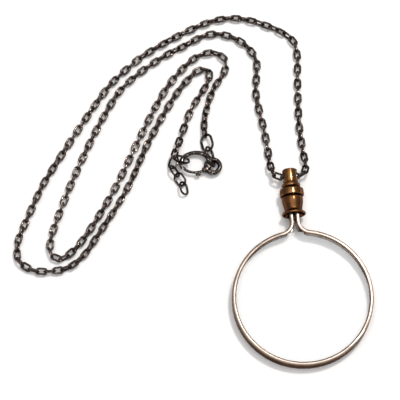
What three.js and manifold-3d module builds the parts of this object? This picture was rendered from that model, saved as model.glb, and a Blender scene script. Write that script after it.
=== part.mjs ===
// Pendant magnifying glass on a long neck chain, lying on a flat surface.
// Millimetres, +Z up. The origin is the bottom centre of the glass and its ferrule; +Y runs
// from the lens to the chain end of the ferrule.
import * as THREE from 'three';
import { mergeVertices } from 'three/addons/utils/BufferGeometryUtils.js';
import Module from 'manifold-3d';

const wasm = await Module();
wasm.setup();

// ---- driving dimensions -------------------------------------------------------------
const GAP = 0.3;                 // clearance between neighbouring pieces

const BAND_RADIUS = 26;          // outer radius of the channel band
const BAND_HEIGHT = 4.8;
const BAND_WALL = 0.4;
const LIP_THICKNESS = 0.5;
const LIP_DEPTH = 1.2;           // how far the two lips reach inward
const BAND_CORNER = 0.35;
const BAND_STEPS = 56;
const NECK_FILLET = 4;           // radius where the band turns out into the neck
const NECK_HALF_WIDTH = 1.85;
const LEG_TOP = 33.3;            // where the full channel of the legs ends
const TAB_TOP = 37.6;            // the flat tabs go on to here
const TAB_WIDTH = 3;

const LENS_RADIUS = 25.25;
const LENS_EDGE = 3.2;
const LENS_CENTRE = 6;

const TANG_WIDTH = 2.3;
const TANG_DEPTH = 2.4;
const TANG_FROM = 30.6;
const TANG_TOP = 37.6;
const STUD_RADIUS = 1.25;
const STUD_TOP = 45.2;
const RIVET_RADIUS = 0.5;
const RIVET_LENGTH = 4.7;
const RIVET_AT = 35.9;

const BARREL_RADIUS = 2.8;
const BARREL_TOP = 50.4;
const CROSS_BORE_AT = 47.8;
const CROSS_BORE_RADIUS = 1.75;

const CHAIN_WIDTH = 2.8;         // overall width of the small cable chain
const CHAIN_SIDES = 8;

const LINK_LENGTH = 5.8;         // extension links
const LINK_WIDTH = 4.4;
const LINK_WIRE = 0.8;

const CLASP_Z = 2.4;             // mid-height of the clasp
const CLAW_CENTRE = [-34.8, 45.2];
const CLAW_FLATTEN = 0.74;       // the claw is an oval, this wide for its length
const CLAW_OUTER = 6.2;
const CLAW_INNER = 4.6;
const CLAW_THICKNESS = 1.8;
const CLASP_EYE = [-28.4, 43.2];
const EYE_RADIUS = 3.3;
const EYE_HOLE = 1.9;
const EYE_THICKNESS = 2;
const FORK_THICKNESS = 2.4;
const SLOT_THICKNESS = 1.4;
const GATE_THICKNESS = 0.8;
const PIVOT_ANGLE = -52;         // degrees round the claw centre
const PIVOT_RADIUS = 5.4;
const GATE_REACH = 8.4;          // from the pin to the tip of the gate
const PIN_RADIUS = 0.3;
const PIN_PLAY = 0.25;
const GATE_BOSS_RADIUS = 1;      // round the pin
const SPRING_ANGLE = -34;
const SPRING_RADIUS = 0.42;
const SPRING_WIRE = 0.2;
const SPRING_LENGTH = 0.6;
const SPRING_TURNS = 3;

// ---- finishes -----------------------------------------------------------------------
const finish = (color, roughness, metalness) => ({ color, roughness, metalness });
const SILVER = finish(0xcfc3b2, 0.28, 1);
const BRONZE = finish(0x8a6238, 0.36, 1);
const STEEL = finish(0x9a9a98, 0.4, 1);
const GUNMETAL = finish(0x3a332f, 0.38, 1);
const GLASS = finish(0xeef4f4, 0.03, 0);

const radians = THREE.MathUtils.degToRad;

function piece(name, geometry, { color, roughness, metalness }) {
  const material = new THREE.MeshStandardMaterial({ color, roughness, metalness });
  const mesh = new THREE.Mesh(geometry, material);
  mesh.name = name;
  return mesh;
}

// ---- solids and booleans ------------------------------------------------------------
function solid(geometry) {
  const bare = geometry.clone();
  bare.deleteAttribute('normal');
  bare.deleteAttribute('uv');
  const merged = mergeVertices(bare, 1e-4);
  return new wasm.Manifold(new wasm.Mesh({
    numProp: 3,
    vertProperties: new Float32Array(merged.attributes.position.array),
    triVerts: new Uint32Array(merged.index.array),
  }));
}

function fromSolid(manifold) {
  const mesh = manifold.getMesh();
  const geometry = new THREE.BufferGeometry();
  geometry.setAttribute('position', new THREE.BufferAttribute(mesh.vertProperties, 3));
  geometry.setIndex(new THREE.BufferAttribute(mesh.triVerts, 1));
  return geometry;
}

function turned(profile, segments) {
  const points = profile.map(([radius, along]) => new THREE.Vector2(radius, along));
  return new THREE.LatheGeometry(points, segments);
}

function rodAlongX(radius, length, along, segments = 16) {
  const rod = new THREE.CylinderGeometry(radius, radius, length, segments);
  rod.rotateZ(Math.PI / 2);
  return rod.translate(0, along, 0);
}

function rodAlongZ(radius, height, [x, y], segments = 24) {
  const rod = new THREE.CylinderGeometry(radius, radius, height, segments);
  rod.rotateX(Math.PI / 2);
  return rod.translate(x, y, 0);
}

// A path given by its stations, so a sweep takes its steps exactly where they are needed.
class StationPath extends THREE.Curve {
  constructor(stations) {
    super();
    this.stations = stations;
  }

  station(u) {
    return this.stations[Math.round(u * (this.stations.length - 1))];
  }

  getPointAt(u, target = new THREE.Vector3()) {
    return target.copy(this.station(u).point);
  }

  getTangentAt(u, target = new THREE.Vector3()) {
    return target.copy(this.station(u).tangent);
  }
}

function sweep(shape, stations) {
  return new THREE.ExtrudeGeometry(shape, {
    steps: stations.length - 1,
    extrudePath: new StationPath(stations),
  });
}

function polygon(points) {
  return new THREE.Shape(points.map(([x, y]) => new THREE.Vector2(x, y)));
}

// ---- the glass: lens, channel band, tang ---------------------------------------------
function lensGeometry() {
  const rings = 5;
  const bulge = (LENS_CENTRE - LENS_EDGE) / 2;
  const upper = [];
  for (let i = 0; i <= rings; i++) {
    const radius = (LENS_RADIUS * i) / rings;
    upper.push([radius, LENS_CENTRE / 2 - bulge * (i / rings) ** 2]);
  }
  const lower = upper.map(([radius, z]) => [radius, -z]);
  return turned([...lower, ...upper.reverse()], 48).rotateX(Math.PI / 2);
}

// Stations along the outer face of the band: down one leg, round the lens, up the other leg.
function bandStations() {
  const filletX = NECK_HALF_WIDTH + NECK_FILLET;
  const filletY = Math.sqrt((BAND_RADIUS + NECK_FILLET) ** 2 - filletX ** 2);
  const turn = Math.atan2(filletX, filletY);
  const stations = [];
  const add = (x, y, tx, ty) => stations.push({
    point: new THREE.Vector3(x, y, 0),
    tangent: new THREE.Vector3(tx, ty, 0).normalize(),
  });
  const filletSteps = 6;
  const sweepAngle = Math.PI / 2 - turn;
  add(-NECK_HALF_WIDTH, LEG_TOP, 0, -1);
  for (let i = 0; i <= filletSteps; i++) {
    const a = (sweepAngle * i) / filletSteps;
    const across = NECK_FILLET * Math.cos(a);
    const along = NECK_FILLET * Math.sin(a);
    add(-filletX + across, filletY - along, -Math.sin(a), -Math.cos(a));
  }
  for (let i = 1; i < BAND_STEPS; i++) {
    const a = Math.PI / 2 + turn + ((2 * Math.PI - 2 * turn) * i) / BAND_STEPS;
    add(BAND_RADIUS * Math.cos(a), BAND_RADIUS * Math.sin(a), -Math.sin(a), Math.cos(a));
  }
  for (let i = filletSteps; i >= 0; i--) {
    const a = (sweepAngle * i) / filletSteps;
    const across = NECK_FILLET * Math.cos(a);
    const along = NECK_FILLET * Math.sin(a);
    add(filletX - across, filletY - along, -Math.sin(a), Math.cos(a));
  }
  add(NECK_HALF_WIDTH, LEG_TOP, 0, 1);
  return stations;
}

function bandGeometry() {
  const h = BAND_HEIGHT / 2;
  const channel = polygon([
    [-h + BAND_CORNER, 0], [h - BAND_CORNER, 0], [h, BAND_CORNER], [h, LIP_DEPTH],
    [h - LIP_THICKNESS, LIP_DEPTH], [h - LIP_THICKNESS, BAND_WALL],
    [-h + LIP_THICKNESS, BAND_WALL], [-h + LIP_THICKNESS, LIP_DEPTH],
    [-h, LIP_DEPTH], [-h, BAND_CORNER],
  ]);
  let band = solid(sweep(channel, bandStations()));
  const tabLength = TAB_TOP - LEG_TOP + 1;
  for (const side of [-1, 1]) {
    const tab = new THREE.BoxGeometry(BAND_WALL, tabLength, TAB_WIDTH);
    tab.translate(side * (NECK_HALF_WIDTH - BAND_WALL / 2), TAB_TOP - tabLength / 2, 0);
    band = band.add(solid(tab));
  }
  const rivetHole = rodAlongX(RIVET_RADIUS + GAP, 3 * NECK_HALF_WIDTH, RIVET_AT);
  return fromSolid(band.subtract(solid(rivetHole)));
}

function tangGeometry() {
  const block = new THREE.BoxGeometry(TANG_WIDTH, TANG_TOP - TANG_FROM, TANG_DEPTH);
  block.translate(0, (TANG_TOP + TANG_FROM) / 2, 0);
  const stud = new THREE.CylinderGeometry(STUD_RADIUS, STUD_RADIUS, STUD_TOP - TANG_TOP + 0.5, 20);
  stud.translate(0, (STUD_TOP + TANG_TOP - 0.5) / 2, 0);
  const rivetHole = rodAlongX(RIVET_RADIUS + GAP, 2 * TANG_WIDTH, RIVET_AT);
  return fromSolid(solid(block).add(solid(stud)).subtract(solid(rivetHole)));
}

// ---- the ferrule: three turned pieces on the stud ------------------------------------
const STUD_HOLE = STUD_RADIUS + GAP;

function bellGeometry() {
  return turned([
    [3.9, 32.5], [4.2, 32.4], [4.45, 32.55], [4.5, 32.9], [4.35, 33.2], [3.85, 33.6],
    [3.4, 34.1], [3.3, 34.5], [3.4, 35.2], [3.65, 36.2], [3.9, 37.4], [3.98, 38.6],
    [3.85, 39.2], [3.5, 39.5], [STUD_HOLE, 39.5], [STUD_HOLE, 38], [2.75, 38],
    [2.75, 34.3], [3.4, 33.6], [3.9, 32.5],
  ], 32);
}

function collarGeometry() {
  return turned([
    [STUD_HOLE, 39.8], [4.3, 39.8], [4.5, 40], [4.5, 42.1], [4.35, 42.45], [3.9, 42.75],
    [3.2, 43], [STUD_HOLE, 43], [STUD_HOLE, 39.8],
  ], 32);
}

function barrelGeometry() {
  const body = turned([
    [0, STUD_TOP + GAP], [STUD_HOLE, STUD_TOP + GAP], [STUD_HOLE, 43.3], [3.1, 43.3],
    [3.4, 43.5], [3.5, 43.9], [3.45, 44.4], [3.15, 44.7], [2.6, 44.85], [2.55, 45.3],
    [BARREL_RADIUS, 45.6], [BARREL_RADIUS, 50.1], [2.5, BARREL_TOP], [0, BARREL_TOP],
  ], 32);
  const bore = rodAlongX(CROSS_BORE_RADIUS, 4 * BARREL_RADIUS, CROSS_BORE_AT, 20);
  return fromSolid(solid(body).subtract(solid(bore)));
}

// The glass lies on the far edge of its band and on the lip of the bell.
function buildHead() {
  const head = new THREE.Group();
  head.add(piece('lens', lensGeometry(), GLASS));
  head.add(piece('frame_band', bandGeometry(), SILVER));
  head.add(piece('tang', tangGeometry(), STEEL));
  head.add(piece('tang_rivet', rodAlongX(RIVET_RADIUS, RIVET_LENGTH, RIVET_AT), STEEL));
  head.add(piece('socket_bell', bellGeometry(), BRONZE));
  head.add(piece('collar_ring', collarGeometry(), BRONZE));
  head.add(piece('chain_barrel', barrelGeometry(), BRONZE));
  const bellLip = [4.5, 32.9];
  head.rotation.x = Math.atan2(bellLip[0] - BAND_HEIGHT / 2, bellLip[1] + BAND_RADIUS - BAND_CORNER);
  const box = new THREE.Box3().setFromObject(head, true);
  head.position.set(0, -(box.min.y + box.max.y) / 2, -box.min.z);
  return head;
}

// ---- the small chain: one run from each mouth of the cross bore ------------------------
// Each run starts inside the bore and lies on the table from its seventh point onward.
const LEFT_RUN = [
  [-0.15, 35.6, 5.05], [-3, 35.6, 5.05], [-5.1, 36.5, 4.75], [-6.4, 39.2, 3.5],
  [-6.9, 43.3, 2.1], [-7.1, 48.5, 1.5], [-7.6, 55.5, 1.45], [-9.4, 72, 1.45],
  [-8.6, 79.1, 1.45], [-8, 85.6, 1.45], [-10.4, 91.2, 1.45], [-15.3, 95.9, 1.45],
  [-21.6, 98.4, 1.45], [-27.4, 98, 1.45], [-34.6, 94.7, 1.45], [-42.5, 91.1, 1.45],
  [-51, 86, 1.45], [-57.4, 81.2, 1.45], [-62, 76.6, 1.45], [-67.4, 68.6, 1.45],
  [-73, 59, 1.45], [-83.4, 38.3, 1.45], [-88, 27.6, 1.45], [-91.2, 18.6, 1.45],
  [-91.2, 13.4, 1.45], [-87.8, 11.3, 1.45], [-83.6, 13.6, 1.45], [-77.4, 20.4, 1.45],
  [-65.9, 37.6, 1.45], [-55.8, 56.2, 1.45], [-44.6, 75.4, 1.45], [-37.8, 83.6, 1.45],
  [-30.6, 89.4, 1.45], [-24.4, 90.6, 1.45], [-20.2, 87.6, 1.45], [-20.6, 82.4, 1.45],
  [-25.4, 75.4, 1.45], [-28.6, 67.8, 1.45], [-30.2, 61.4, 1.6], [-30.4, 57.2, 1.9],
];
const RIGHT_RUN = [
  [0.15, 35.6, 5.05], [3, 35.6, 5.05], [5, 36.5, 4.75], [6.3, 39.2, 3.5],
  [6.4, 43.3, 2.1], [6, 48.5, 1.5], [5.8, 58, 1.45], [7.2, 78, 1.45],
  [8, 87, 1.45], [7, 92.8, 1.45], [2.8, 97.2, 1.45], [-3.4, 100.8, 1.45],
  [-10.6, 103.8, 1.45], [-17.7, 104.8, 1.45], [-24.6, 103.8, 1.45], [-31.6, 101.4, 1.45],
  [-49.6, 92.6, 1.45], [-57.4, 87, 1.45], [-64.4, 80.8, 1.45], [-71.2, 72.4, 1.45],
  [-86, 51.6, 1.45], [-93.2, 40.6, 1.45], [-99.4, 28.2, 1.45], [-103.4, 19, 1.45],
  [-103.4, 12, 1.45], [-98.6, 7.8, 1.45], [-92, 6.8, 1.45], [-85.4, 7.6, 1.45],
  [-79.4, 11.8, 1.45], [-73.8, 19, 1.45], [-61.6, 36.6, 1.45], [-52, 55.2, 1.45],
  [-40.6, 73.4, 1.45], [-34.6, 80.4, 1.45], [-30.2, 83.6, 1.45], [-26.9, 83.2, 1.45],
  [-27, 79.4, 1.45], [-34.8, 67.2, 1.45], [-39.8, 55.5, 2.3], [-42.5, 48.4, 4.6],
];

function chainRun(points) {
  const through = points.map((p) => new THREE.Vector3(...p));
  const curve = new THREE.CatmullRomCurve3(through, false, 'centripetal');
  const stations = through.map((point, i) => ({
    point,
    tangent: curve.getTangent(i / (through.length - 1)),
  }));
  const corners = [];
  for (let i = 0; i < CHAIN_SIDES; i++) {
    const a = (2 * Math.PI * (i + 0.5)) / CHAIN_SIDES;
    corners.push([(CHAIN_WIDTH / 2) * Math.cos(a), (CHAIN_WIDTH / 2) * Math.sin(a)]);
  }
  return sweep(polygon(corners), stations);
}

// ---- larger links and rings --------------------------------------------------------------
// An oval ring in the XY plane, its long axis along X.
function ovalGeometry(length, width, wire) {
  const around = 12;
  const section = 6;
  const mean = (width - wire) / 2;
  const profile = [];
  for (let i = 0; i <= section; i++) {
    const a = (2 * Math.PI * (i % section)) / section;
    profile.push(new THREE.Vector2(mean + (wire / 2) * Math.cos(a), (wire / 2) * Math.sin(a)));
  }
  const geometry = new THREE.LatheGeometry(profile, around, Math.PI / around);
  geometry.rotateX(Math.PI / 2);
  const position = geometry.attributes.position;
  for (let i = 0; i < position.count; i++) {
    const x = position.getX(i);
    position.setX(i, x + (Math.sign(x) * (length - width)) / 2);
  }
  return geometry;
}

// Lays an oval with its long axis from one point to another, rolled about that axis.
function layOval(name, size, from, to, roll, material) {
  const start = new THREE.Vector3(...from);
  const along = new THREE.Vector3(...to).sub(start);
  const middle = start.addScaledVector(along, 0.5);
  const x = along.clone().normalize();
  const level = new THREE.Vector3(0, 0, 1).cross(x).normalize();
  const rise = x.clone().cross(level);
  const across = level.multiplyScalar(Math.cos(radians(roll)));
  across.addScaledVector(rise, Math.sin(radians(roll)));
  const mesh = piece(name, ovalGeometry(...size), material);
  mesh.quaternion.setFromRotationMatrix(new THREE.Matrix4().makeBasis(x, across, x.clone().cross(across)));
  mesh.position.copy(middle);
  return mesh;
}

// name, [length, width, wire], from, to, roll in degrees
const EXTENSION = [LINK_LENGTH, LINK_WIDTH, LINK_WIRE];
const RINGS = [
  ['clasp_ring', [8.8, 5.8, 0.9], [-28.6, 43.2, 2.6], [-29.5, 51, 2.4], 60],
  ['chain_end_ring', [7.6, 5.6, 0.95], [-29.4, 50.3, 2.4], [-30.3, 55.7, 1.9], -35],
  ['extension_ring', [7, 7, 0.85], [-43, 47.6, 3.5], [-37.3, 45.5, 3.5], 90],
  ['extension_link_1', EXTENSION, [-42.5, 48, 1.95], [-43.8, 44.3, 1.95], 30],
  ['extension_link_2', EXTENSION, [-43.8, 44.3, 1.95], [-42.2, 40.8, 1.95], -50],
  ['extension_link_3', EXTENSION, [-42.2, 40.8, 1.95], [-40.2, 37.4, 1.7], 35],
  ['extension_link_4', EXTENSION, [-40.2, 37.4, 1.7], [-39.9, 33.5, 1.85], -45],
];

// ---- the lobster clasp -----------------------------------------------------------------
// A level plate shaped as a sector of a ring about the claw centre, flattened into the oval.
function sector(inner, outer, fromAngle, toAngle, thickness) {
  const shape = new THREE.Shape();
  shape.absarc(0, 0, outer, radians(fromAngle), radians(toAngle), false);
  shape.absarc(0, 0, inner, radians(toAngle), radians(fromAngle), true);
  const geometry = new THREE.ExtrudeGeometry(shape, {
    depth: thickness, bevelEnabled: false, curveSegments: Math.ceil((toAngle - fromAngle) / 14),
  });
  geometry.scale(1, CLAW_FLATTEN, 1);
  return geometry.translate(CLAW_CENTRE[0], CLAW_CENTRE[1], -thickness / 2);
}

function onClaw(angle, radius) {
  return [
    CLAW_CENTRE[0] + radius * Math.cos(radians(angle)),
    CLAW_CENTRE[1] + CLAW_FLATTEN * radius * Math.sin(radians(angle)),
  ];
}

// The space the gate turns in, which shapes the slanted joint between hook and gate.
function gateSweep(clearance) {
  return solid(rodAlongZ(GATE_REACH + clearance, 5, onClaw(PIVOT_ANGLE, PIVOT_RADIUS), 72));
}

function pinHole() {
  return solid(rodAlongZ(PIN_RADIUS + PIN_PLAY, 5, onClaw(PIVOT_ANGLE, PIVOT_RADIUS), 12));
}

function claspBodyGeometry() {
  const claw = solid(sector(CLAW_INNER, CLAW_OUTER, -26, 152, CLAW_THICKNESS));
  const hook = solid(sector(CLAW_INNER, CLAW_OUTER, 150, 215, CLAW_THICKNESS)).subtract(gateSweep(GAP));
  const eye = solid(rodAlongZ(EYE_RADIUS, EYE_THICKNESS, CLASP_EYE));
  const fork = solid(sector(4.3, 6.5, -64, -20, FORK_THICKNESS));
  const slot = solid(sector(3.9, 7.5, -70, -27, SLOT_THICKNESS));
  const hole = solid(rodAlongZ(EYE_HOLE, 5, CLASP_EYE));
  return fromSolid(claw.add(hook).add(eye).add(fork).subtract(slot).subtract(hole).subtract(pinHole()));
}

function claspGateGeometry() {
  const arm = solid(sector(4.8, 6, 190, 318, GATE_THICKNESS)).intersect(gateSweep(0));
  const thumb = solid(sector(5.8, 7.4, 266, 284, GATE_THICKNESS));
  const boss = solid(rodAlongZ(GATE_BOSS_RADIUS, GATE_THICKNESS, onClaw(PIVOT_ANGLE, PIVOT_RADIUS)));
  return fromSolid(arm.add(thumb).add(boss).subtract(pinHole()));
}

// A short coil between the tail of the gate and the end of its slot, its axis along the claw.
function claspSpringGeometry() {
  const steps = 12 * SPRING_TURNS;
  const turnsAngle = 2 * Math.PI * SPRING_TURNS;
  const stations = [];
  for (let i = 0; i <= steps; i++) {
    const a = (turnsAngle * i) / steps;
    const along = SPRING_LENGTH * (i / steps - 0.5);
    const point = new THREE.Vector3(SPRING_RADIUS * Math.cos(a), along, SPRING_RADIUS * Math.sin(a));
    const rise = SPRING_LENGTH / turnsAngle;
    const tangent = new THREE.Vector3(-SPRING_RADIUS * Math.sin(a), rise, SPRING_RADIUS * Math.cos(a));
    stations.push({ point, tangent: tangent.normalize() });
  }
  const section = new THREE.Shape().absarc(0, 0, SPRING_WIRE / 2, 0, 2 * Math.PI, false);
  const geometry = new THREE.ExtrudeGeometry(section, {
    steps, extrudePath: new StationPath(stations), curveSegments: 3,
  });
  geometry.rotateZ(radians(SPRING_ANGLE));
  return geometry.translate(...onClaw(SPRING_ANGLE, PIVOT_RADIUS), 0);
}

function buildClasp() {
  const clasp = new THREE.Group();
  clasp.position.z = CLASP_Z;
  clasp.add(piece('clasp_body', claspBodyGeometry(), GUNMETAL));
  clasp.add(piece('clasp_gate', claspGateGeometry(), GUNMETAL));
  clasp.add(piece('clasp_spring', claspSpringGeometry(), STEEL));
  const pin = rodAlongZ(PIN_RADIUS, FORK_THICKNESS, onClaw(PIVOT_ANGLE, PIVOT_RADIUS), 12);
  clasp.add(piece('clasp_pin', pin, STEEL));
  return clasp;
}

// ---- the whole part ----------------------------------------------------------------------
const group = new THREE.Group();
group.add(buildHead());
group.add(piece('chain_left', chainRun(LEFT_RUN), GUNMETAL));
group.add(piece('chain_right', chainRun(RIGHT_RUN), GUNMETAL));
for (const [name, size, from, to, roll] of RINGS) {
  group.add(layOval(name, size, from, to, roll, GUNMETAL));
}
group.add(buildClasp());

export default group;
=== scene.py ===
"""Pendant magnifying glass on a long neck chain, lying on a pale table."""

import math
import random

import bmesh
import bpy
from mathutils import Matrix, Vector


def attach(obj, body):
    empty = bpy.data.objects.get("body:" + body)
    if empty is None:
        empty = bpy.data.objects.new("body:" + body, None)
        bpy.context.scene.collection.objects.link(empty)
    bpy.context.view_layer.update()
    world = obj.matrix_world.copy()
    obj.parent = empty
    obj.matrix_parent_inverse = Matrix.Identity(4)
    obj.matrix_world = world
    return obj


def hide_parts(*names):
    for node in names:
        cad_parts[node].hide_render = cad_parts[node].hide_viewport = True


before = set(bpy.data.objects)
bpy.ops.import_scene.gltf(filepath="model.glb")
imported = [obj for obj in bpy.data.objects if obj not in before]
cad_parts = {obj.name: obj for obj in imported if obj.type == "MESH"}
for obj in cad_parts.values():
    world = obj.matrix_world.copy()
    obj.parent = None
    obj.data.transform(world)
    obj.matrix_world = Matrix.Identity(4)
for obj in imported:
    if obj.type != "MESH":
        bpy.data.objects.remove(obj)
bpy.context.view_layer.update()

MM = 0.001
RANDOM = random.Random(11)


def mm(*values):
    """A vector in metres from millimetres."""
    return Vector(values) * MM


def quarter_turn(axis):
    return Matrix.Rotation(math.pi / 2, 4, axis)


# ---- camera --------------------------------------------------------------------------
CAMERA_PLACE = mm(-53.9, -237.8, 703.2)
CAMERA_VIEW = Vector((0.026, 0.3568, -0.9338))
CAMERA_RIGHT = Vector((0.9966, -0.0821, -0.0036))
FOCAL_LENGTH = 180
SENSOR_WIDTH = 36


def make_camera():
    view = CAMERA_VIEW.normalized()
    right = (CAMERA_RIGHT - view * CAMERA_RIGHT.dot(view)).normalized()
    up = right.cross(view)
    data = bpy.data.cameras.new("camera")
    data.lens = FOCAL_LENGTH
    data.sensor_width = SENSOR_WIDTH
    data.clip_start = 0.05
    data.clip_end = 20
    camera = bpy.data.objects.new("camera", data)
    rotation = Matrix((right, up, -view)).transposed()
    camera.matrix_world = Matrix.Translation(CAMERA_PLACE) @ rotation.to_4x4()
    bpy.context.scene.collection.objects.link(camera)
    bpy.context.scene.camera = camera


make_camera()


# ---- node materials ------------------------------------------------------------------
class Nodes:
    """A small helper that adds and joins the nodes of one material."""

    def __init__(self, name):
        self.material = bpy.data.materials.new(name)
        self.material.use_nodes = True
        self.tree = self.material.node_tree
        self.tree.nodes.clear()
        self.output = self.add("ShaderNodeOutputMaterial")

    def add(self, kind, **inputs):
        node = self.tree.nodes.new(kind)
        for key, value in inputs.items():
            self.set(node, key.replace("_", " "), value)
        return node

    def set(self, node, key, value):
        if isinstance(value, bpy.types.NodeSocket):
            self.tree.links.new(value, node.inputs[key])
        else:
            node.inputs[key].default_value = value

    def noise(self, scale, detail=4, roughness=0.55, stretch=(1, 1, 1)):
        place = self.add("ShaderNodeTexCoord")
        mapping = self.add("ShaderNodeMapping", Vector=place.outputs["Object"], Scale=stretch)
        noise = self.add("ShaderNodeTexNoise", Vector=mapping.outputs[0], Scale=scale,
                         Detail=detail, Roughness=roughness)
        return noise.outputs["Fac"]

    def spread(self, value, low, high, to_low=0.0, to_high=1.0):
        """The value, with the range low to high mapped to another one."""
        node = self.add("ShaderNodeMapRange")
        self.set(node, "Value", value)
        self.set(node, "From Min", low)
        self.set(node, "From Max", high)
        self.set(node, "To Min", to_low)
        self.set(node, "To Max", to_high)
        return node.outputs[0]

    def blend(self, factor, first, second):
        """A mix of two colours."""
        node = self.tree.nodes.new("ShaderNodeMix")
        node.data_type = "RGBA"
        for socket, value in ((0, factor), (6, first), (7, second)):
            if isinstance(value, bpy.types.NodeSocket):
                self.tree.links.new(value, node.inputs[socket])
            else:
                node.inputs[socket].default_value = value if socket == 0 else (*value, 1)
        return node.outputs[2]

    def math(self, operation, first, second):
        node = self.tree.nodes.new("ShaderNodeMath")
        node.operation = operation
        for socket, value in enumerate((first, second)):
            if isinstance(value, bpy.types.NodeSocket):
                self.tree.links.new(value, node.inputs[socket])
            else:
                node.inputs[socket].default_value = value
        return node.outputs[0]

    def worn_edges(self, low=0.5, high=0.56):
        """Rises from 0 on flat and hollow places to 1 on edges."""
        geometry = self.add("ShaderNodeNewGeometry")
        return self.spread(geometry.outputs["Pointiness"], low, high)

    def bump(self, height, strength, distance):
        node = self.add("ShaderNodeBump", Height=height, Strength=strength, Distance=distance)
        return node.outputs["Normal"]

    def finish(self, shader):
        self.tree.links.new(shader.outputs[0], self.output.inputs["Surface"])
        return self.material


PIT_DEPTH = 0.00006
LACQUER_ROUGHNESS = 0.12
# How many small spots of painted highlight to a metre.
PAINTED_GLINTS_PER_METRE = 1500


def metal(name, tones, roughness, scale, scratch_axis=(1, 1, 1), scratches=0.12, wear=0.5,
          lacquer=0.0, grazing=(1, 1, 1), painted_glints=None):
    """Metal whose colour goes from recess to body to rubbed edge, with pits and fine scratches.

    scale is the fineness of the stains per metre, lacquer the weight of the clear coat, grazing the
    tint of the reflection at a flat angle, and the last argument the colour of small pale spots of
    painted highlight.
    """
    n = Nodes(name)
    recess, body, edge = tones
    patches = n.spread(n.noise(scale, 5, 0.6), 0.35, 0.62)
    colour = n.blend(patches, recess, body)
    rubbing = n.spread(n.noise(scale * 2.5, 3), 0.3, 0.6, 0.3, wear + 0.5)
    rubbed = n.math("MULTIPLY", n.worn_edges(), rubbing)
    colour = n.blend(rubbed, colour, edge)
    # Small pale spots of painted highlight, blended into the metal's colour.
    if painted_glints:
        painted_glint_spots = n.spread(n.noise(PAINTED_GLINTS_PER_METRE, 2, 0.5), 0.58, 0.7)
        colour = n.blend(painted_glint_spots, colour, painted_glints)
    fine = n.noise(scale * 6, 3, 0.6, scratch_axis)
    rough = n.spread(n.noise(scale * 1.7, 4), 0.3, 0.7, *roughness)
    rough = n.math("ADD", rough, n.spread(fine, 0.3, 0.7, -0.04, 0.05))
    pits = n.math("MULTIPLY", n.noise(scale * 3, 4), fine)
    shader = n.add("ShaderNodeBsdfPrincipled", Base_Color=colour, Metallic=1.0, Roughness=rough,
                   Normal=n.bump(pits, scratches, PIT_DEPTH), Coat_Weight=lacquer,
                   Coat_Roughness=LACQUER_ROUGHNESS, Specular_Tint=(*grazing, 1))
    return n.finish(shader)


def glass_material():
    """Clear glass that lets the lamp and the floor's own light straight through."""
    n = Nodes("clear_lens_glass")
    smudge = n.spread(n.noise(90, 5, 0.6), 0.5, 0.75, 0.0, 0.05)
    shader = n.add("ShaderNodeBsdfPrincipled", Base_Color=(0.995, 1.0, 1.0, 1), Roughness=smudge,
                   IOR=1.5, Transmission_Weight=1.0)
    clear = n.add("ShaderNodeBsdfTransparent", Color=(0.98, 0.985, 0.985, 1))
    path = n.add("ShaderNodeLightPath")
    mix = n.add("ShaderNodeMixShader")
    straight = n.math("MAXIMUM", path.outputs["Is Shadow Ray"], path.outputs["Is Diffuse Ray"])
    n.tree.links.new(straight, mix.inputs[0])
    n.tree.links.new(shader.outputs[0], mix.inputs[1])
    n.tree.links.new(clear.outputs[0], mix.inputs[2])
    return n.finish(mix)


def floor_material():
    n = Nodes("pale_table")
    colour = n.blend(n.noise(14, 3), (0.83, 0.825, 0.82), (0.86, 0.855, 0.85))
    shader = n.add("ShaderNodeBsdfPrincipled", Base_Color=colour, Roughness=0.85,
                   Normal=n.bump(n.noise(900, 2), 0.05, 0.00005))
    return n.finish(shader)


RIM = metal(
    "rubbed_silver",
    tones=((0.14, 0.118, 0.1), (0.235, 0.205, 0.182), (0.56, 0.52, 0.48)),
    roughness=(0.2, 0.32), scale=160, scratches=0.1, grazing=(0.5, 0.45, 0.4))
# A darker, browner copy of the silver: painted shade for the band's walls and the lip's inner edge.
RIM_SHADE = metal(
    "silver_painted_shade",
    tones=((0.07, 0.046, 0.034), (0.145, 0.1, 0.077), (0.24, 0.18, 0.14)),
    roughness=(0.22, 0.36), scale=140, grazing=(0.48, 0.41, 0.36))
BRASS = metal(
    "antique_brass",
    tones=((0.04, 0.012, 0.003), (0.17, 0.062, 0.014), (0.55, 0.31, 0.12)),
    roughness=(0.12, 0.22), scale=220, scratch_axis=(1, 6, 1), scratches=0.08, lacquer=0.25,
    grazing=(0.2, 0.1, 0.05))
# Dark bronze; its last colour is a painted highlight in small pale spots.
DARK = metal(
    "dark_bronze",
    tones=((0.005, 0.003, 0.0025), (0.015, 0.008, 0.0065), (0.06, 0.038, 0.03)),
    roughness=(0.12, 0.22), scale=300, scratches=0.08, wear=0.2, lacquer=0.4,
    grazing=(0.16, 0.11, 0.1), painted_glints=(0.36, 0.29, 0.25))
STEEL = metal(
    "steel_pin",
    tones=((0.25, 0.24, 0.23), (0.45, 0.44, 0.42), (0.7, 0.69, 0.67)),
    roughness=(0.25, 0.4), scale=400)
# Near-black metal, a painted shade for the inside of the bell and the gap between the legs.
SHADE_BLACK = metal(
    "painted_shade_black",
    tones=((0.006, 0.004, 0.003), (0.02, 0.012, 0.008), (0.06, 0.04, 0.025)),
    roughness=(0.5, 0.7), scale=300)
GLASS = glass_material()


# ---- meshes --------------------------------------------------------------------------
def finish_piece(name, mesh, materials, place, body, nodes):
    """A piece made of the mesh, put in its place, which rides on the body for those CAD nodes."""
    for material in materials:
        mesh.materials.append(material)
    mesh.transform(place)
    obj = bpy.data.objects.new(name, mesh)
    bpy.context.scene.collection.objects.link(obj)
    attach(obj, body)
    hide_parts(*nodes)
    return obj


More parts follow.
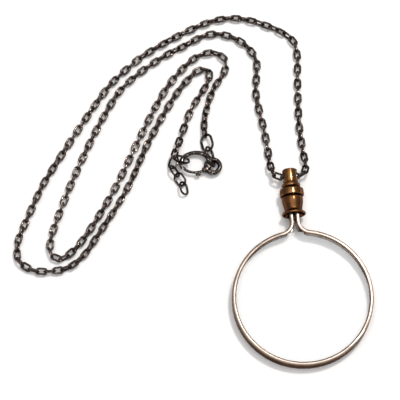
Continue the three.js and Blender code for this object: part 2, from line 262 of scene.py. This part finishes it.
def mesh_from(name, make, sharp=None):
    """A smooth mesh made by a function that fills a bmesh in metres."""
    bm = bmesh.new()
    make(bm)
    bmesh.ops.recalc_face_normals(bm, faces=bm.faces)
    mesh = bpy.data.meshes.new(name)
    for face in bm.faces:
        face.smooth = True
    bm.to_mesh(mesh)
    bm.free()
    if sharp is not None:
        mesh.set_sharp_from_angle(angle=math.radians(sharp))
    return mesh


def rounded(points, radii, steps=5):
    """The closed polygon with its corners rounded."""
    out = []
    for i, (point, radius) in enumerate(zip(points, radii)):
        corner = Vector(point)
        if radius == 0:
            out.append(corner)
            continue
        before = Vector(points[i - 1]) - corner
        after = Vector(points[(i + 1) % len(points)]) - corner
        most = min(before.length, after.length) * 0.49
        reach = min(radius / math.tan(before.angle(after) / 2), most)
        start = corner + before.normalized() * reach
        end = corner + after.normalized() * reach
        for k in range(steps + 1):
            t = k / steps
            out.append(start * (1 - t) ** 2 + corner * 2 * t * (1 - t) + end * t * t)
    return out


def skin(bm, loops, closed=False, material_of=None):
    """Joins loops of points, each a closed section, into a skin, with caps unless it is closed."""
    rows = [[bm.verts.new(p * MM) for p in loop] for loop in loops]
    count = len(rows[0])
    last = len(rows) if closed else len(rows) - 1
    for i in range(last):
        one, two = rows[i], rows[(i + 1) % len(rows)]
        for j in range(count):
            k = (j + 1) % count
            face = bm.faces.new((one[j], one[k], two[k], two[j]))
            if material_of:
                face.material_index = material_of(j)
    if not closed:
        bm.faces.new(rows[0])
        bm.faces.new(rows[-1])


def turn(bm, profile, segments=128):
    """A solid of revolution about Y from a closed profile of (radius, along) points."""
    loops = []
    for i in range(segments):
        a = 2 * math.pi * i / segments
        loops.append([Vector((r * math.cos(a), y, r * math.sin(a))) for r, y in profile])
    skin(bm, loops, closed=True)
    bmesh.ops.remove_doubles(bm, verts=bm.verts, dist=1e-8)


def circle(radius, count):
    angles = [2 * math.pi * i / count for i in range(count)]
    return [(radius * math.cos(a), radius * math.sin(a)) for a in angles]


# ---- the small chain -----------------------------------------------------------------
LEFT_RUN = [
    (-0.15, 35.6, 5.05), (-3, 35.6, 5.05), (-5.1, 36.5, 4.75), (-6.4, 39.2, 3.5),
    (-6.9, 43.3, 2.1), (-7.1, 48.5, 1.5), (-7.6, 55.5, 1.45), (-9.4, 72, 1.45),
    (-8.6, 79.1, 1.45), (-8, 85.6, 1.45), (-10.4, 91.2, 1.45), (-15.3, 95.9, 1.45),
    (-21.6, 98.4, 1.45), (-27.4, 98, 1.45), (-34.6, 94.7, 1.45), (-42.5, 91.1, 1.45),
    (-51, 86, 1.45), (-57.4, 81.2, 1.45), (-62, 76.6, 1.45), (-67.4, 68.6, 1.45),
    (-73, 59, 1.45), (-83.4, 38.3, 1.45), (-88, 27.6, 1.45), (-91.2, 18.6, 1.45),
    (-91.2, 13.4, 1.45), (-87.8, 11.3, 1.45), (-83.6, 13.6, 1.45), (-77.4, 20.4, 1.45),
    (-65.9, 37.6, 1.45), (-55.8, 56.2, 1.45), (-44.6, 75.4, 1.45), (-37.8, 83.6, 1.45),
    (-30.6, 89.4, 1.45), (-24.4, 90.6, 1.45), (-20.2, 87.6, 1.45), (-20.6, 82.4, 1.45),
    (-25.4, 75.4, 1.45), (-28.6, 67.8, 1.45), (-30.2, 61.4, 1.6), (-30.4, 57.2, 1.9),
]
RIGHT_RUN = [
    (0.15, 35.6, 5.05), (3, 35.6, 5.05), (5, 36.5, 4.75), (6.3, 39.2, 3.5),
    (6.4, 43.3, 2.1), (6, 48.5, 1.5), (5.8, 58, 1.45), (7.2, 78, 1.45),
    (8, 87, 1.45), (7, 92.8, 1.45), (2.8, 97.2, 1.45), (-3.4, 100.8, 1.45),
    (-10.6, 103.8, 1.45), (-17.7, 104.8, 1.45), (-24.6, 103.8, 1.45), (-31.6, 101.4, 1.45),
    (-49.6, 92.6, 1.45), (-57.4, 87, 1.45), (-64.4, 80.8, 1.45), (-71.2, 72.4, 1.45),
    (-86, 51.6, 1.45), (-93.2, 40.6, 1.45), (-99.4, 28.2, 1.45), (-103.4, 19, 1.45),
    (-103.4, 12, 1.45), (-98.6, 7.8, 1.45), (-92, 6.8, 1.45), (-85.4, 7.6, 1.45),
    (-79.4, 11.8, 1.45), (-73.8, 19, 1.45), (-61.6, 36.6, 1.45), (-52, 55.2, 1.45),
    (-40.6, 73.4, 1.45), (-34.6, 80.4, 1.45), (-30.2, 83.6, 1.45), (-26.9, 83.2, 1.45),
    (-27, 79.4, 1.45), (-34.8, 67.2, 1.45), (-39.8, 55.5, 2.3), (-42.5, 48.4, 4.6),
]
CHAIN_LINK = (4.75, 2.95, 0.88)  # length, width and wire of one link
LINK_PITCH = 3.08
FIRST_LINK = 1.38  # from the start of a run to the middle of its first link
LAST_LINK = 0.22  # from the middle of its last link to the end of the run
LOWEST_CENTRE = 1.6
HALF_TANGENT = 1.2  # a link points from this far before its middle to this far after
TIED_LINKS = 5  # links at each end that hang less freely
TURNED_LINKS = 8  # links that turn from lying flat to the way the end ring asks
LEAN_STEP = 0.12
LEAN_KEPT = 0.9
ROLL_PLAY = 0.2
SIDE_PLAY = 0.03
QUARTER = math.pi / 2


def smooth_path(points, per_span=24):
    """The centripetal Catmull-Rom curve through the points, as the solids of the chain follow."""
    nodes = [Vector(p) for p in points]
    nodes = [nodes[0] * 2 - nodes[1], *nodes, nodes[-1] * 2 - nodes[-2]]
    out = []
    for i in range(1, len(nodes) - 2):
        p0, p1, p2, p3 = nodes[i - 1:i + 3]
        d0, d1, d2 = (math.sqrt((b - a).length) for a, b in ((p0, p1), (p1, p2), (p2, p3)))
        t1 = ((p1 - p0) / d0 - (p2 - p0) / (d0 + d1) + (p2 - p1) / d1) * d1
        t2 = ((p2 - p1) / d1 - (p3 - p1) / (d1 + d2) + (p3 - p2) / d2) * d1
        for k in range(per_span):
            s = k / per_span
            point = (p1 * (2 * s ** 3 - 3 * s * s + 1) + t1 * (s ** 3 - 2 * s * s + s)
                     + p2 * (3 * s * s - 2 * s ** 3) + t2 * (s ** 3 - s * s))
            point.z = max(point.z, LOWEST_CENTRE)
            out.append(point)
    out.append(nodes[-2])
    return out


def lengths_along(path):
    total = [0.0]
    for a, b in zip(path, path[1:]):
        total.append(total[-1] + (b - a).length)
    return total


def at_length(path, total, s):
    """The point that far along the path."""
    s = min(max(s, 0.0), total[-1])
    i = next((k for k in range(1, len(total)) if total[k] >= s), len(total) - 1)
    t = (s - total[i - 1]) / (total[i] - total[i - 1])
    return path[i - 1].lerp(path[i], t)


def oval_loops(size, around, section):
    """The sections of an oval ring in the XY plane, its long axis along X."""
    length, width, wire = size
    mean = (width - wire) / 2
    loops = []
    for i in range(around):
        a = 2 * math.pi * (i + 0.5) / around
        out = Vector((math.cos(a), math.sin(a), 0))
        shift = Vector((math.copysign((length - width) / 2, out.x), 0, 0))
        loops.append([shift + out * (mean + u) + Vector((0, 0, v))
                      for u, v in circle(wire / 2, section)])
    return loops


def axes(direction, roll):
    """Columns along the direction, across it at that roll, and square to both."""
    x = direction.normalized()
    level = Vector((0, 0, 1)).cross(x).normalized()
    rise = x.cross(level)
    across = level * math.cos(roll) + rise * math.sin(roll)
    return Matrix((x, across, x.cross(across))).transposed()


def roll_of(direction, normal):
    """The roll at which a link along that direction has about that normal."""
    x = direction.normalized()
    level = Vector((0, 0, 1)).cross(x).normalized()
    rise = x.cross(level)
    across = normal.cross(x)
    return math.atan2(across.dot(rise), across.dot(level))


def make_chain(name, points, last_normal, exit_point, node):
    """Links along a run, each a quarter turn from the one before, with a little play."""
    path = smooth_path(points)
    total = lengths_along(path)
    length = total[-1]
    span = length - FIRST_LINK - LAST_LINK
    count = round(span / LINK_PITCH)
    pitch = span / count
    loops = oval_loops(CHAIN_LINK, 24, 10)

    def direction_at(before, after):
        return at_length(path, total, after) - at_length(path, total, before)

    last_roll = roll_of(direction_at(length - HALF_TANGENT, length), last_normal)
    lying_roll = round(last_roll / QUARTER) * QUARTER

    def links(bm):
        lean = 0.0
        for i in range(count + 1):
            s = FIRST_LINK + i * pitch
            centre = at_length(path, total, s)
            from_end = count - i
            loose = min(1.0, from_end / TIED_LINKS, i / TIED_LINKS)
            lean = lean * LEAN_KEPT + RANDOM.uniform(-LEAN_STEP, LEAN_STEP)
            settled = min(1.0, from_end / TURNED_LINKS)
            roll = last_roll + (lying_roll - last_roll) * settled + QUARTER * from_end
            roll += loose * (lean + RANDOM.uniform(-ROLL_PLAY, ROLL_PLAY))
            turned = axes(direction_at(s - HALF_TANGENT, s + HALF_TANGENT), roll)
            sway = Vector((RANDOM.uniform(-1, 1), RANDOM.uniform(-1, 1), 0)) * SIDE_PLAY * loose
            middle = centre + sway
            skin(bm, [[middle + turned @ p for p in loop] for loop in loops], closed=True)

    obj = finish_piece(name, mesh_from(name, links), [DARK], Matrix.Identity(4), "chain",
                       [node])
    return obj, path, length, exit_point


def ring_frame(start, end, roll_degrees):
    """The middle and the axes of a ring between two points, with its long axis along them."""
    start, end = Vector(start), Vector(end)
    return (start + end) / 2, axes(end - start, math.radians(roll_degrees))


EXTENSION = (5.8, 4.4, 0.8)
# name, (length, width, wire), from, to, roll in degrees
RINGS = [
    ("clasp_ring", (8.8, 5.8, 0.9), (-28.6, 43.2, 2.71), (-29.5, 51, 2.52), 60),
    ("chain_end_ring", (7.6, 5.6, 0.95), (-29.4, 50.3, 2.4), (-30.3, 55.7, 1.9), -35),
    ("extension_ring", (7, 7, 0.85), (-43, 47.6, 3.5), (-37.3, 45.5, 3.5), 90),
    ("extension_link_1", EXTENSION, (-42.5, 48, 1.95), (-43.8, 44.3, 1.95), 30),
    ("extension_link_2", EXTENSION, (-43.8, 44.3, 1.95), (-42.2, 40.8, 1.95), -50),
    ("extension_link_3", EXTENSION, (-42.2, 40.8, 1.95), (-40.2, 37.4, 1.7), 35),
    ("extension_link_4", EXTENSION, (-40.2, 37.4, 1.7), (-39.9, 33.5, 1.85), -45),
]


def make_rings():
    made = {}
    for name, size, start, end, roll in RINGS:
        middle, turned = ring_frame(start, end, roll)
        loops = [[middle + turned @ p for p in loop] for loop in oval_loops(size, 72, 20)]
        mesh = mesh_from(name + "_wire", lambda bm: skin(bm, loops, closed=True))
        made[name] = finish_piece(name + "_wire", mesh, [DARK], Matrix.Identity(4), "chain",
                                  [name])
    return made


END_RING_AXES = ring_frame(*RINGS[1][2:])[1]
EXTENSION_RING_AXES = ring_frame(*RINGS[2][2:])[1]
LEFT_LAST_NORMAL = END_RING_AXES.col[1]
HOOKED_AT = math.radians(155)  # where on the round ring the right run is hooked in
RIGHT_LAST_NORMAL = (EXTENSION_RING_AXES.col[1] * math.cos(HOOKED_AT)
                     - EXTENSION_RING_AXES.col[0] * math.sin(HOOKED_AT))

left_chain = make_chain("chain_left_links", LEFT_RUN, LEFT_LAST_NORMAL,
                        (-2.8 * MM, 35.6 * MM, 5.05 * MM), "chain_left")
right_chain = make_chain("chain_right_links", RIGHT_RUN, RIGHT_LAST_NORMAL,
                         (2.8 * MM, 35.6 * MM, 5.05 * MM), "chain_right")
rings = make_rings()

# ---- the glass -----------------------------------------------------------------------
HEAD_TILT = math.radians(2.054134620332565)
HEAD = Matrix.Translation(mm(0, -12.2002, 3.3178)) @ Matrix.Rotation(HEAD_TILT, 4, "X")
BAND_RADIUS = 26
HALF_HEIGHT = 2.4
WALL = 0.4
LIP_THICKNESS = 0.5
LIP_DEPTH = 1.5
UNSHADED_LIP = (0.48, 0.92)  # the depths between which the lip keeps the lighter silver; the rest of the band has painted shade
NECK_HALF_WIDTH = 1.85
NECK_FILLET = 4
LEG_TOP = 33.3
TAB_TOP = 37.6


def band_path():
    """Points down one leg, round the lens and up the other, with the way inward at each."""
    fillet_x = NECK_HALF_WIDTH + NECK_FILLET
    fillet_y = math.sqrt((BAND_RADIUS + NECK_FILLET) ** 2 - fillet_x ** 2)
    gap = math.atan2(fillet_x, fillet_y)
    out = [(Vector((-NECK_HALF_WIDTH, y, 0)), Vector((1, 0, 0))) for y in (LEG_TOP, 31.5, 30.4)]
    steps = 20
    for i in range(steps):
        a = (math.pi / 2 - gap) * i / steps
        inward = Vector((math.cos(a), -math.sin(a), 0))
        out.append((Vector((-fillet_x, fillet_y, 0)) + inward * NECK_FILLET, inward))
    around = 220
    for i in range(around + 1):
        a = math.pi / 2 + gap + (2 * math.pi - 2 * gap) * i / around
        outward = Vector((math.cos(a), math.sin(a), 0))
        out.append((outward * BAND_RADIUS, -outward))
    mirrored = [(Vector((-p.x, p.y, 0)), Vector((-n.x, n.y, 0))) for p, n in out[:steps + 3]]
    return out + mirrored[::-1]


def lip_crown(from_depth, to_depth, z, sag, steps=6):
    """A lip's face, a little higher along its middle."""
    points = []
    for k in range(steps + 1):
        t = k / steps
        depth = from_depth + (to_depth - from_depth) * t
        points.append((depth, z - math.copysign(sag * (2 * t - 1) ** 2, z)))
    return points


def band_mesh(bm):
    h = HALF_HEIGHT
    crown_end = LIP_DEPTH - 0.2
    under = h - LIP_THICKNESS
    corner = rounded([(0, -1.5), (0, h - 0.1), (0.32, h - 0.02)], (0, 0.32, 0), 6)[1:-1]
    top = lip_crown(0.3, crown_end, h, 0.06)
    inner = rounded([(crown_end, h - 0.06), (LIP_DEPTH, h - 0.16), (LIP_DEPTH, under + 0.05),
                     (crown_end, under), (WALL, under), (WALL, 0)],
                    (0, 0.12, 0.12, 0, 0.12, 0), 4)[1:-1]
    upper = [Vector(p) for p in [*corner, *top, *inner]]
    section = [Vector((0, 0.0))] + upper + [Vector((WALL, 0.0))]
    section += [Vector((p.x, -p.y)) for p in reversed(upper)]
    # Faces outside the lighter part of the lip take the darker silver, a painted shade.
    painted_shade_faces = set()
    for j, point in enumerate(section):
        after = section[(j + 1) % len(section)]
        if max(point.x, after.x) < UNSHADED_LIP[0] or min(point.x, after.x) > UNSHADED_LIP[1]:
            painted_shade_faces.add(j)
    loops = [[p + n * s.x + Vector((0, 0, s.y)) for s in section] for p, n in band_path()]
    skin(bm, loops, material_of=lambda j: 1 if j in painted_shade_faces else 0)
    for side in (-1, 1):
        corners = [(-1.5, LEG_TOP - 1), (1.5, LEG_TOP - 1), (1.5, TAB_TOP), (-1.5, TAB_TOP)]
        outline = rounded(corners, (0, 0, 0.4, 0.4))
        faces = [[Vector((side * x, p.y, p.x)) for p in outline]
                 for x in (NECK_HALF_WIDTH - WALL, NECK_HALF_WIDTH)]
        skin(bm, faces)


LENS_RADIUS = 25.25
LENS_HALF_EDGE = 1.6
LENS_HALF_CENTRE = 3.0
LENS_BEVEL = 0.18


def lens_profile(steps=24):
    bulge = LENS_HALF_CENTRE - LENS_HALF_EDGE
    upper = []
    for i in range(steps + 1):
        t = i / steps
        upper.append((LENS_RADIUS * t, LENS_HALF_CENTRE - bulge * t * t))
    upper[-1] = (LENS_RADIUS - LENS_BEVEL, upper[-1][1] + 0.01)
    side = [(LENS_RADIUS, y) for y in (LENS_HALF_EDGE - LENS_BEVEL, LENS_BEVEL - LENS_HALF_EDGE)]
    return upper + side + [(r, -y) for r, y in reversed(upper)]


def lens_mesh(bm):
    turn(bm, lens_profile(), 160)
    bm.transform(quarter_turn("X"))


finish_piece("lens_disc", mesh_from("lens_disc", lens_mesh, 40), [GLASS], HEAD, "head",
             ["lens"])
finish_piece("channel_band", mesh_from("channel_band", band_mesh, 50), [RIM, RIM_SHADE], HEAD,
             "head", ["frame_band"])

# ---- the ferrule ---------------------------------------------------------------------
# Each profile is a list of (radius, along, corner radius).
BELL = [
    (3.9, 32.5, 0.1), (4.2, 32.4, 0.15), (4.45, 32.55, 0.2), (4.5, 32.9, 0.2), (4.35, 33.2, 0.2),
    (3.85, 33.6, 0.5), (3.4, 34.1, 0.4), (3.3, 34.5, 0.6), (3.4, 35.2, 1), (3.65, 36.2, 2),
    (3.9, 37.4, 2), (3.98, 38.6, 0.8), (3.85, 39.2, 0.3), (3.5, 39.5, 0.2), (1.55, 39.5, 0.1),
    (1.55, 38, 0.1), (2.75, 38, 0.2), (2.75, 34.3, 0.3), (3.4, 33.6, 0.3),
]
COLLAR = [
    (1.55, 39.8, 0.1), (4.3, 39.8, 0.2), (4.5, 40, 0.3), (4.5, 42.1, 0.5), (4.35, 42.45, 0.3),
    (3.9, 42.75, 0.4), (3.2, 43, 0.2), (1.55, 43, 0.1),
]
BARREL = [
    (0, 45.5, 0), (1.55, 45.5, 0.1), (1.55, 43.3, 0.1), (3.1, 43.3, 0.2), (3.4, 43.5, 0.3),
    (3.5, 43.9, 0.4), (3.45, 44.4, 0.4), (3.15, 44.7, 0.2), (2.6, 44.85, 0.2), (2.55, 45.3, 0.15),
    (2.8, 45.6, 0.2), (2.8, 50.1, 0.3), (2.5, 50.4, 0.3), (0, 50.4, 0),
]
CROSS_BORE_AT = 47.8
CROSS_BORE_RADIUS = 1.75
BELL_DEPTH = 39


def turned_mesh(name, profile, in_painted_shade=lambda radius, along: False):
    """A turned piece, with the second material, a near-black painted shade, on the faces that the
    given test picks.
    """
    points = rounded([p[:2] for p in profile], [p[2] for p in profile], 5)
    mesh = mesh_from(name, lambda bm: turn(bm, points), 40)
    for polygon in mesh.polygons:
        place = polygon.center / MM
        polygon.material_index = int(in_painted_shade(math.hypot(place.x, place.z), place.y))
    return mesh


def in_bell_mouth(radius, along):
    """True on the inside of the bell, from just within its lip, where the near-black painted shade
    goes.
    """
    return radius < 3.85 - (along - 32.6) * 0.45 and along < BELL_DEPTH


def apply_modifiers(obj):
    """Keeps the mesh that the modifiers give, and drops them."""
    bpy.context.view_layer.update()
    evaluated = obj.evaluated_get(bpy.context.evaluated_depsgraph_get())
    mesh = bpy.data.meshes.new_from_object(evaluated)
    obj.modifiers.clear()
    old = obj.data
    obj.data = mesh
    bpy.data.meshes.remove(old)


def cut(obj, cutter_mesh, place, operation="DIFFERENCE"):
    """Cuts the object with a mesh at that place, or keeps what is within it."""
    cutter = bpy.data.objects.new("cutter", cutter_mesh)
    bpy.context.scene.collection.objects.link(cutter)
    cutter.matrix_world = place
    modifier = obj.modifiers.new("cut", "BOOLEAN")
    modifier.operation = operation
    modifier.solver = "EXACT"
    modifier.object = cutter
    apply_modifiers(obj)
    bpy.data.objects.remove(cutter)
    bpy.data.meshes.remove(cutter_mesh)


def rod_mesh(radius, length, segments=64):
    """A plain rod along Z to cut with."""
    def make(bm):
        section = circle(radius, segments)
        skin(bm, [[Vector((u, v, z)) for u, v in section] for z in (-length / 2, length / 2)])
    return mesh_from("rod", make, 30)


finish_piece("bell_socket", turned_mesh("bell_socket", BELL, in_bell_mouth), [BRASS, SHADE_BLACK], HEAD,
             "head", ["socket_bell"])
finish_piece("middle_collar", turned_mesh("middle_collar", COLLAR), [BRASS], HEAD, "head",
             ["collar_ring"])
barrel = finish_piece("end_barrel", turned_mesh("end_barrel", BARREL), [BRASS], HEAD, "head",
                      ["chain_barrel"])
bore_place = HEAD @ Matrix.Translation(mm(0, CROSS_BORE_AT, 0)) @ quarter_turn("Y")
cut(barrel, rod_mesh(CROSS_BORE_RADIUS, 12), bore_place)
barrel.data.set_sharp_from_angle(angle=math.radians(40))

# ---- the lobster clasp ---------------------------------------------------------------
CLAW_CENTRE = Vector((-34.8, 45.2, 0))
CLAW_FLATTEN = 0.74
CLASP = Matrix.Translation(mm(0, 0, 2.4))
CLASP_EYE = Vector((-28.4, 43.2, 0))
CLAW_RADIUS = 5.4
PIVOT_ANGLE = -52
COIL_ANGLE = -34
FORK_ANGLES = (-64, -14)
GATE_REACH = 8.4
GATE_HALF_THICKNESS = 0.4
PIN_HOLE_RADIUS = 0.5
SLOT_HEIGHT = 1.2


def on_claw(angle, radius=CLAW_RADIUS, z=0.0):
    """The point at that angle and radius of the claw's flattened circle."""
    a = math.radians(angle)
    return CLAW_CENTRE + Vector((radius * math.cos(a), CLAW_FLATTEN * radius * math.sin(a), z))


PIVOT = on_claw(PIVOT_ANGLE)
PIVOT_PLACE = Matrix.Translation(PIVOT * MM)


def arc_sweep(bm, from_angle, to_angle, section_at, steps):
    """A bar that follows the claw, from a section of (radius, height) points at each angle."""
    loops = []
    for i in range(steps + 1):
        angle = from_angle + (to_angle - from_angle) * i / steps
        loops.append([on_claw(angle, radius, z) for radius, z in section_at(angle)])
    skin(bm, loops)


def soft_box(middle, half_width, half_height, power=3.0, count=28):
    """A rounded section round that radius."""
    out = []
    for i in range(count):
        a = 2 * math.pi * i / count
        c, s = math.cos(a), math.sin(a)
        out.append((middle + half_width * math.copysign(abs(c) ** (2 / power), c),
                    half_height * math.copysign(abs(s) ** (2 / power), s)))
    return out


def melt(obj, voxel, smooth):
    """Joins the overlapping closed forms of a piece into one cast form with soft edges."""
    remesh = obj.modifiers.new("join", "REMESH")
    remesh.mode = "VOXEL"
    remesh.voxel_size = voxel * MM
    soften = obj.modifiers.new("soften", "SMOOTH")
    soften.factor = 0.5
    soften.iterations = smooth
    apply_modifiers(obj)
    for polygon in obj.data.polygons:
        polygon.use_smooth = True


def claw_section(angle):
    """The claw's section, which thins to the hook's end and swells toward the eye."""
    taper = min(max((angle + 20) / 235, 0), 1)
    shoulder = min(max((50 - angle) / 70, 0), 1)
    half_width = 1.1 - 0.2 * taper + 0.25 * shoulder
    return soft_box(CLAW_RADIUS, half_width, 0.95 - 0.1 * taper, 2.3)


def hook_mesh(bm):
    """The claw's free end, which the gate closes on."""
    arc_sweep(bm, 148, 214, claw_section, 30)


def eye_mesh(bm):
    """The eye, the two cheeks of the fork, the block between them and the claw."""
    fork_start, fork_end = FORK_ANGLES
    ring = soft_box(2.65, 0.85, 1.0, 2.4)
    loops = []
    for x, y in circle(1, 72):
        out = Vector((x, y, 0))
        loops.append([CLASP_EYE + out * r + Vector((0, 0, z)) for r, z in ring])
    skin(bm, loops, closed=True)
    for z in (0.95, -0.95):
        def cheek(angle, z=z):
            ease = min((angle - fork_start) / 6, 1) * 0.3 + 0.7
            return [(r, z + dz) for r, dz in soft_box(CLAW_RADIUS, 1.1 * ease, 0.25, 3, 24)]
        arc_sweep(bm, fork_start, fork_end, cheek, 26)
    arc_sweep(bm, -27, fork_end, lambda angle: soft_box(CLAW_RADIUS, 1.1, 1.15, 3, 24), 10)
    arc_sweep(bm, -26, 152, claw_section, 70)


def loose_object(name, mesh):
    obj = bpy.data.objects.new(name, mesh)
    bpy.context.scene.collection.objects.link(obj)
    return obj


def add_to_mesh(mesh, make):
    """Adds the forms of a function that fills a bmesh to the mesh."""
    bm = bmesh.new()
    bm.from_mesh(mesh)
    make(bm)
    bmesh.ops.recalc_face_normals(bm, faces=bm.faces)
    bm.to_mesh(mesh)
    bm.free()


def taken_mesh(obj):
    """The object's mesh, without the object."""
    mesh = obj.data
    bpy.data.objects.remove(obj)
    return mesh


def clasp_body():
    obj = loose_object("hook", mesh_from("hook", hook_mesh))
    cut(obj, rod_mesh(GATE_REACH + 0.3, 6, 160), PIVOT_PLACE)
    add_to_mesh(obj.data, eye_mesh)
    melt(obj, 0.085, 5)
    cut(obj, rod_mesh(1.25, SLOT_HEIGHT), PIVOT_PLACE)
    cut(obj, rod_mesh(0.66, SLOT_HEIGHT), Matrix.Translation(on_claw(COIL_ANGLE) * MM))
    cut(obj, rod_mesh(PIN_HOLE_RADIUS, 6), PIVOT_PLACE)
    return finish_piece("clasp_claw", taken_mesh(obj), [DARK], CLASP, "chain",
                        ["clasp_body"])


def gate_mesh(bm):
    bar = soft_box(CLAW_RADIUS, 0.64, GATE_HALF_THICKNESS, 3, 24)
    arc_sweep(bm, 190, 318, lambda angle: bar, 60)


def thumb_and_boss_mesh(bm):
    """The disc round the pin and the nub that the thumb pulls."""
    disc = circle(1, 40)
    skin(bm, [[PIVOT + Vector((u, v, z)) for u, v in disc]
              for z in (-GATE_HALF_THICKNESS, GATE_HALF_THICKNESS)])

    def section(angle):
        swell = math.sqrt(max(0.02, 1 - ((angle - 275) / 9.5) ** 2))
        return soft_box(6.3, 1.15 * swell, GATE_HALF_THICKNESS, 2.6, 24)
    arc_sweep(bm, 266, 284, section, 16)


def clasp_gate():
    obj = loose_object("gate", mesh_from("gate", gate_mesh))
    cut(obj, rod_mesh(GATE_REACH, 6, 160), PIVOT_PLACE, "INTERSECT")
    add_to_mesh(obj.data, thumb_and_boss_mesh)
    melt(obj, 0.06, 4)
    cut(obj, rod_mesh(PIN_HOLE_RADIUS, 6), PIVOT_PLACE)
    return finish_piece("clasp_lever", taken_mesh(obj), [DARK], CLASP, "gate",
                        ["clasp_gate"])


def pin_mesh(bm):
    """The pin with its two rounded heads."""
    profile = [(0, -1.36), (0.3, -1.33), (0.52, -1.24), (0.56, -1.2), (0.3, -1.17), (0.3, 1.17),
               (0.56, 1.2), (0.52, 1.24), (0.3, 1.33), (0, 1.36)]
    turn(bm, profile, 40)
    bm.transform(PIVOT_PLACE @ quarter_turn("X"))


def spring_mesh(bm):
    """A short coil of round wire across the claw."""
    turns, coil, wire, length = 3, 0.42, 0.1, 0.6
    centre = on_claw(COIL_ANGLE)
    spin = Matrix.Rotation(math.radians(COIL_ANGLE), 3, "Z")
    loops = []
    steps = 36 * turns
    for i in range(steps + 1):
        a = 2 * math.pi * turns * i / steps
        out = Vector((math.cos(a), 0, math.sin(a)))
        middle = out * coil + Vector((0, length * (i / steps - 0.5), 0))
        loops.append([centre + spin @ (middle + out * u + Vector((0, v, 0)))
                      for u, v in circle(wire, 10)])
    skin(bm, loops)


clasp = [
    clasp_body(),
    clasp_gate(),
    finish_piece("clasp_pin_head", mesh_from("clasp_pin_head", pin_mesh, 60), [DARK], CLASP,
                 "chain", ["clasp_pin"]),
    finish_piece("clasp_coil", mesh_from("clasp_coil", spring_mesh), [STEEL], CLASP, "chain",
                 ["clasp_spring"]),
]

# ---- the CAD solids that show as they are --------------------------------------------
# The tang takes the near-black painted shade that fills the gap between the legs; the rivet is
# plain steel.
for name, material in (("tang", SHADE_BLACK), ("tang_rivet", STEEL)):
    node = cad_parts[name]
    node.data.materials.clear()
    node.data.materials.append(material)


# ---- table and light -----------------------------------------------------------------
KEY_AIM = Vector((-0.02, 0.02, 0))
KEY_AZIMUTH = math.radians(44)
KEY_ELEVATION = math.radians(69)
KEY_DISTANCE = 0.9
KEY_SIZE = 0.1
KEY_ENERGY = 3.3
# height of the direction, from the horizon to straight up, and colour of the sky there
SKY = ((0.0, (0.3, 0.29, 0.28, 1)), (0.75, (0.42, 0.41, 0.41, 1)), (1.0, (2.05, 2.05, 2.08, 1)))


def make_floor():
    mesh = bpy.data.meshes.new("table_top")
    bm = bmesh.new()
    bmesh.ops.create_circle(bm, cap_ends=True, radius=2.5, segments=96)
    bm.to_mesh(mesh)
    bm.free()
    mesh.materials.append(floor_material())
    floor = bpy.data.objects.new("table_top", mesh)
    bpy.context.scene.collection.objects.link(floor)
    floor.location = (-0.04, 0.03, -0.00001)


def make_key_light():
    """A small lamp that lights everything but the lens, whose highlights would hide the floor."""
    level = math.cos(KEY_ELEVATION)
    away = Vector((math.sin(KEY_AZIMUTH) * level, math.cos(KEY_AZIMUTH) * level,
                   math.sin(KEY_ELEVATION)))
    data = bpy.data.lights.new("key", "AREA")
    data.shape = "DISK"
    data.size = KEY_SIZE
    data.energy = KEY_ENERGY
    data.color = (1.0, 0.97, 0.92)
    light = bpy.data.objects.new("key", data)
    light.location = KEY_AIM + away * KEY_DISTANCE
    light.rotation_mode = "QUATERNION"
    light.rotation_quaternion = away.to_track_quat("Z", "Y")
    bpy.context.scene.collection.objects.link(light)
    reached = bpy.data.collections.new("lit_by_key")
    light.light_linking.receiver_collection = reached
    reached.objects.link(bpy.data.objects["lens_disc"])
    reached.collection_objects[0].light_linking.link_state = "EXCLUDE"


def make_world():
    """A soft sky, dark at the horizon and bright overhead."""
    world = bpy.data.worlds.new("studio")
    bpy.context.scene.world = world
    world.use_nodes = True
    tree = world.node_tree
    tree.nodes.clear()
    place = tree.nodes.new("ShaderNodeTexCoord")
    split = tree.nodes.new("ShaderNodeSeparateXYZ")
    ramp = tree.nodes.new("ShaderNodeValToRGB")
    background = tree.nodes.new("ShaderNodeBackground")
    output = tree.nodes.new("ShaderNodeOutputWorld")
    tree.links.new(place.outputs["Generated"], split.inputs[0])
    tree.links.new(split.outputs["Z"], ramp.inputs[0])
    tree.links.new(ramp.outputs[0], background.inputs["Color"])
    tree.links.new(background.outputs[0], output.inputs["Surface"])
    stops = ramp.color_ramp.elements
    stops.new(SKY[1][0])
    for stop, (position, colour) in zip(stops, SKY):
        stop.position = position
        stop.color = colour
    background.inputs["Strength"].default_value = 1.0


make_floor()
make_key_light()
make_world()
bpy.context.scene.view_settings.view_transform = "Standard"
bpy.context.scene.view_settings.exposure = 0.25
